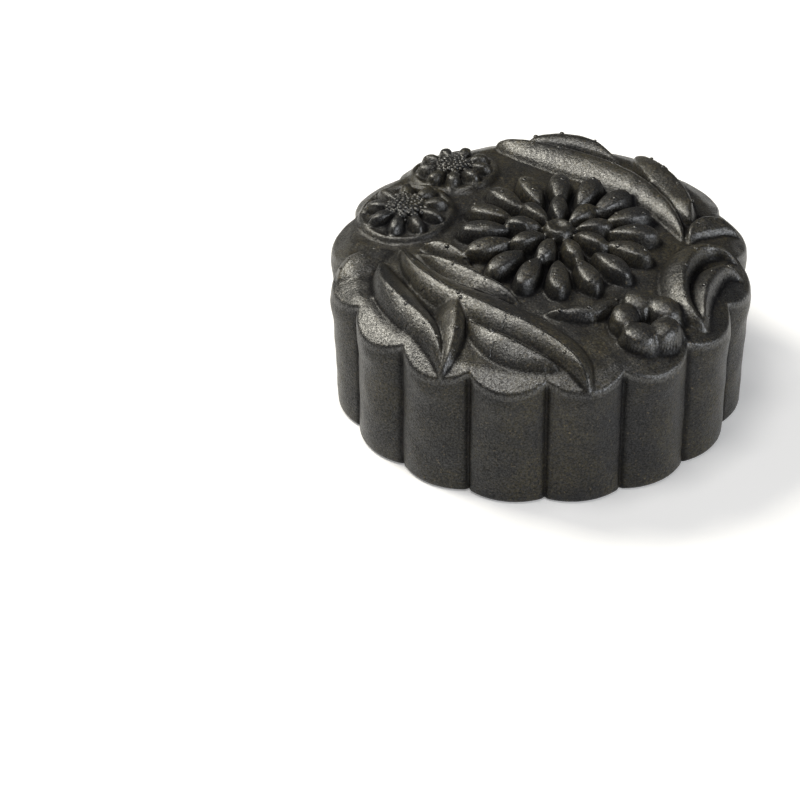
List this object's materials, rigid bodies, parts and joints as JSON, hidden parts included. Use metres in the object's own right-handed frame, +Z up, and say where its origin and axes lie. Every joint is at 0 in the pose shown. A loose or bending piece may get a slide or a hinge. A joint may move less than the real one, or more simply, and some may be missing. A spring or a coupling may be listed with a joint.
{
  "type": "mooncake",
  "caption": "Round baked mooncake with a fluted side and a pressed relief of leaves, blossoms and a many-petalled flower on its domed top.",
  "frame": {"origin": "centre of the flat underside, at the middle of the bounding box", "axes": "+Z up through the cake; -Y is the front, where the longest leaf runs over the rim"},
  "size_m": [0.0796, 0.0796, 0.0352],
  "materials": {
    "baked_skin": "matte charcoal-black baked dough with a faint satin sheen"
  },
  "bodies": {
    "root": {"mooncake": "baked_skin"}
  },
  "joints": []
}
